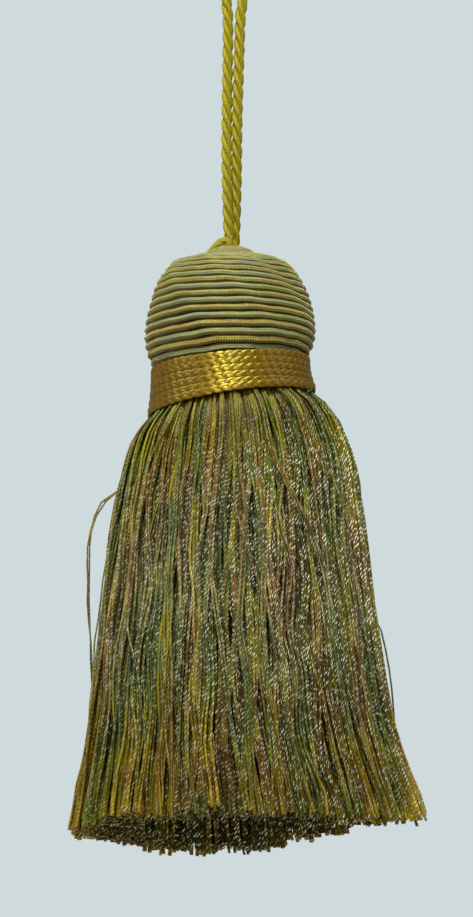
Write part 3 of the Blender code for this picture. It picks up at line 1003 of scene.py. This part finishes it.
def skirt_threads():
    """Guide lines of the threads, each with its thickness, its twist, its place in the dye,
    how smooth it is, how light it is with painted shade and light, and how much painted glint it
    has."""
    rng = np.random.default_rng(SEED)
    lock_angle = math.tau * (np.arange(LOCKS) + rng.uniform(0, 0.85, LOCKS)) / LOCKS
    lock_pull = rng.uniform(0.2, 0.75, LOCKS)  # how close its threads draw together
    lock_wave = rng.uniform((28, 0, 0.3), (60, 1, 1.2), (LOCKS, 3))  # length, start, reach in mm
    lock_lean = rng.normal(0, 0.04, LOCKS)  # sideways by the hem, in radians
    lock_proud = rng.uniform(-2.4, 0.5, LOCKS) * MM
    lock_hem = rng.normal(0, 0.6, LOCKS) * MM  # how much longer it was cut
    lock_dye = rng.uniform(0, 1, LOCKS)  # its place in the dye
    lock_shade = rng.normal(1.0, 0.25, LOCKS).clip(0.5, 1.5)
    lock_glitter = 0.5 + (7 * lock_dye) % 1
    fallen = np.linspace(0, 1, THREAD_POINTS)
    spread = 1 + 0.4 * np.exp(-12 * fallen) + 0.4 * fallen**24  # pressed flat, and cut, at the ends
    lines = []
    for i in range(THREADS):
        angle = math.tau * ((i * ROUND_SHARE) % 1)
        layer = 1 - INNER_LAYER * ((i * LAYER_SHARE) % 1) ** 1.3
        gaps = (angle - lock_angle + math.pi) % math.tau - math.pi
        lock = np.argmin(np.abs(gaps))
        hem = hem_at(angle) + lock_hem[lock] + rng.normal(0, HEM_RAGGED)
        outer = np.clip((layer - 0.8) / 0.2, 0, 1)
        crossing = rng.uniform() < CROSSING_SHARE
        satin = 1.0 if layer > 0.93 and rng.uniform() < SATIN_SHARE else 0.0
        lean = lock_lean[lock] + rng.normal(0, 0.1 if crossing else 0.012)

        def turned_by(depth):
            share = (depth - SKIRT_ROOT) / (HEM_DEPTH - SKIRT_ROOT)
            pull = gaps[lock] * lock_pull[lock] * np.sin(math.pi * np.clip(share * 1.1, 0, 1))
            length, start, reach = lock_wave[lock]
            sway = reach * np.sin(math.tau * (depth / MM / length + start))
            sway = sway * MM / skirt_at(depth)[1] * np.clip(share * 4, 0, 1)
            return lean * share + (sway - pull) * outer

        edge = min(abs(gaps[lock]) * LOCKS / math.pi, 1)
        proud = (lock_proud[lock] - LOCK_CROWN * edge**2) * outer
        proud += CROSSING_RISE if crossing or satin else 0
        right = math.cos(angle)
        # its own tone, which differs at random, then painted shade: darker in the partings between
        # locks, on the inner threads and on the right, more even at the top; and painted light at
        # the hem's sides
        shade = lock_shade[lock] * rng.uniform(0.96, 1.04)
        shade *= (1.2 - 0.6 * edge**2) * (0.42 + 0.58 * outer)  # darker in the partings
        shade *= 1 - 0.26 * max(right, 0)  # and on the right
        shade = 1.03 + (shade - 1.03) * np.clip(0.45 + 1.8 * fallen, 0, 1)  # more even at the top
        to_side = 0.8 * right**2 + 0.3 * max(right, 0)
        painted_hem_light = (to_side - 0.08) * outer * fallen**5  # the hem is lighter at its two sides
        # how much painted glint it gets
        glitter = 2.2 - 1.2 * outer + 0.33 * right * (1 + right)  # strongest inside, on the right
        lines.append(
            dict(
                points=skirt_thread(rng, angle, layer, hem, turned_by, proud),
                thick=rng.uniform(0.75, 1.25) * spread,
                twist=rng.uniform(0, math.tau),
                dye=lock_dye[lock] + rng.normal(0, 0.045 if rng.uniform() < 0.9 else 0.3),
                satin=satin,
                shade=shade * (1 + painted_hem_light),
                glitter=glitter * lock_glitter[lock],
            )
        )
    for degrees, leaves, rejoins, throw, dye in LOOSE_THREADS:

        def loose(depth):
            gone = np.clip((depth / MM - leaves) / (rejoins - leaves), 0, 1)
            return throw * MM * np.sin(math.pi * gone**0.45) - 2 * MM

        angle = math.radians(degrees)
        points = skirt_thread(rng, angle, 1.0, hem_at(angle), 0.0, loose)
        thick = 0.9 * spread
        lines.append(
            dict(points=points, thick=thick, twist=0.3, dye=dye, satin=0.0, shade=0.9, glitter=0.5)
        )
    for count, dye, route in STRAY_STRANDS:
        depths, angles = np.array(route).T

        def across(depth):
            return np.radians(np.interp(depth / MM, depths, angles) - angles[0])

        for k in range(count):
            angle = math.radians(angles[0] + 1.0 * (k - (count - 1) / 2) + rng.normal(0, 0.3))
            proud = (0.6 + 0.15 * (k % 2)) * MM
            hem = hem_at(math.radians(angles[-1]))
            lines.append(
                dict(
                    points=skirt_thread(rng, angle, 1.0, hem, across, proud, wander=0.3),
                    thick=1.05 * spread,
                    twist=rng.uniform(0, 1),
                    dye=dye + rng.normal(0, 0.02),
                    satin=0.0,
                    shade=0.92,
                    glitter=1.0,
                )
            )
    return lines


def thread_silk():
    """Two-ply space-dyed silk: its colours follow one another along the thread.

    Its glints, where a ply turns over, are painted into its colour, as is the shade in its
    plies' grooves; some threads are smooth and painted lighter, as a painted sheen.
    """
    material, tree, shader = new_material(
        "space_dyed_silk",
        Metallic=0.05,
        Roughness=0.36,
        Specular_IOR_Level=0.2,
        Subsurface_Weight=0.35,
        Subsurface_Radius=(1.0, 0.8, 0.4),
        Subsurface_Scale=1.0 * MM,
    )
    along, across, down = yarn_place(tree)
    dye, twist, satin, shade, glitter = (
        add_node(tree, "ShaderNodeAttribute", attribute_name=label).outputs["Fac"]
        for label in ("dye", "twist", "satin", "shade", "glitter")
    )

    def patches(value, spread, length, detail):
        """Noise that changes along a thread, and from thread to thread by a value of its own."""
        scale = (spread, 1 / length, 0.0)
        spot = add_node(tree, "ShaderNodeCombineXYZ", {"X": value, "Y": along})
        spot = add_node(tree, "ShaderNodeVectorMath", {0: spot, 1: scale}, operation="MULTIPLY")
        noise = {"Vector": spot, "Scale": 1.0, "Detail": detail}
        return add_node(tree, "ShaderNodeTexNoise", noise, noise_dimensions="2D")

    # the dye: a sequence of colours that comes again along each thread, a little uneven
    uneven = patches(dye, 6.0, BATH_RUN, 1.0)
    still = add_node(tree, "ShaderNodeMapRange", {"Value": satin, 3: 1 / DYE_REPEAT, 4: 0.0})
    place = add_node(tree, "ShaderNodeMath", {0: along, 1: still, 2: dye}, operation="MULTIPLY_ADD")
    place = add_node(
        tree, "ShaderNodeMath", {0: uneven, 1: 0.5, 2: place}, operation="MULTIPLY_ADD"
    )
    place = add_node(tree, "ShaderNodeMath", {0: place}, operation="FRACT")
    colors = add_node(tree, "ShaderNodeValToRGB", {"Fac": place})
    fill_ramp(colors, [(i / (len(DYES) - 1), srgb(color)) for i, color in enumerate(DYES)])

    # the two plies, which turn round one another, tighter in some threads
    angle = add_node(tree, "ShaderNodeMath", {0: down, 1: across}, operation="ARCTAN2")
    tightness = add_node(
        tree,
        "ShaderNodeMapRange",
        {"Value": twist, 2: math.tau, 3: -math.tau / PLY_TURNS[0], 4: -math.tau / PLY_TURNS[1]},
    )
    phase = add_node(
        tree, "ShaderNodeMath", {0: along, 1: tightness, 2: twist}, operation="MULTIPLY_ADD"
    )
    spiral = add_node(
        tree, "ShaderNodeMath", {0: angle, 1: 2.0, 2: phase}, operation="MULTIPLY_ADD"
    )
    plies = add_node(tree, "ShaderNodeMath", {0: spiral}, operation="SINE")

    # their relief, painted shade and painted glints are strongest half way down; under the band and
    # at the hem they lie smoother
    reach = add_node(tree, "ShaderNodeMapRange", {"Value": along, 1: 0.0, 2: RAMP_RUN})
    zone = add_node(tree, "ShaderNodeValToRGB", {"Fac": reach})
    fill_ramp(zone, [(position, (value, value, value, 1)) for position, value in GLITTER])
    plies = add_node(tree, "ShaderNodeMath", {0: plies, 1: zone}, operation="MULTIPLY")

    # how light it is: painted shade where the plies sink, a painted sheen on the smooth threads,
    # its own tone with the painted shade and light it carries, and lighter or darker in patches
    groove = add_node(tree, "ShaderNodeMapRange", {"Value": satin, 3: 0.16, 4: 0.06})
    shine = add_node(tree, "ShaderNodeMapRange", {"Value": satin, 3: 1.01, 4: 1.08})
    lit = add_node(
        tree, "ShaderNodeMath", {0: plies, 1: groove, 2: shine}, operation="MULTIPLY_ADD"
    )
    lit = add_node(tree, "ShaderNodeMath", {0: lit, 1: shade}, operation="MULTIPLY")
    weak = add_node(tree, "ShaderNodeSeparateColor", {"Color": uneven.outputs["Color"]})
    weak = add_node(
        tree,
        "ShaderNodeMapRange",
        {"Value": weak.outputs["Green"], 1: 0.35, 2: 0.65, 3: 0.7, 4: 1.3},
    )
    lit = add_node(tree, "ShaderNodeMath", {0: lit, 1: weak}, operation="MULTIPLY")

    # yellower under the band and more golden towards the hem, and darker at both: tints of the dye
    # with painted shade
    tint_and_shade = add_node(tree, "ShaderNodeValToRGB", {"Fac": reach})
    fill_ramp(tint_and_shade, [(position, srgb(color)) for position, color in TINTS_AND_SHADE])
    tinted_and_shaded = add_node(
        tree,
        "ShaderNodeMix",
        {"Factor": 1.0, 6: colors, 7: tint_and_shade},
        data_type="RGBA",
        blend_type="MULTIPLY",
    )
    tone = add_node(
        tree,
        "ShaderNodeHueSaturation",
        {"Saturation": 1.11, "Value": lit, "Color": tinted_and_shaded.outputs[2]},
    )

    # painted glints, mixed into the base colour on some turns of some threads; finer ones, as in
    # the real silk, wouldn't show
    chance = patches(twist, 60.0, GLINT_RUN, 0.0)
    glint = add_node(tree, "ShaderNodeMapRange", {"Value": chance, 1: 0.48, 2: 0.64, 4: 0.6})
    for weight in (glitter, zone, plies):
        glint = add_node(tree, "ShaderNodeMath", {0: glint, 1: weight}, operation="MULTIPLY")
    rough = add_node(tree, "ShaderNodeMath", {0: 1.0, 1: satin}, operation="SUBTRACT")
    glint = add_node(
        tree, "ShaderNodeMath", {0: glint, 1: rough}, operation="MULTIPLY", use_clamp=True
    )
    glinting = add_node(
        tree,
        "ShaderNodeMix",
        {"Factor": glint, 6: tone.outputs["Color"], 7: srgb("#ded8be")},
        data_type="RGBA",
    )
    tree.links.new(glinting.outputs[2], shader.inputs["Base Color"])
    bump = add_node(
        tree, "ShaderNodeBump", {"Height": plies, "Strength": 0.6, "Distance": 0.08 * MM}
    )
    tree.links.new(bump.outputs["Normal"], shader.inputs["Normal"])
    return material


silk = thread_silk()
all_threads = skirt_threads()
for part in range(THREAD_PARTS):
    threads = yarn_along(
        guide_lines(f"thread_lines_{part}", all_threads[part::THREAD_PARTS]),
        f"skirt_threads_{part}",
        silk,
        Radius=THREAD_RADIUS,
        Sides=4,
        Turned=math.pi / 4,
    )
    fit(threads, "skirt")
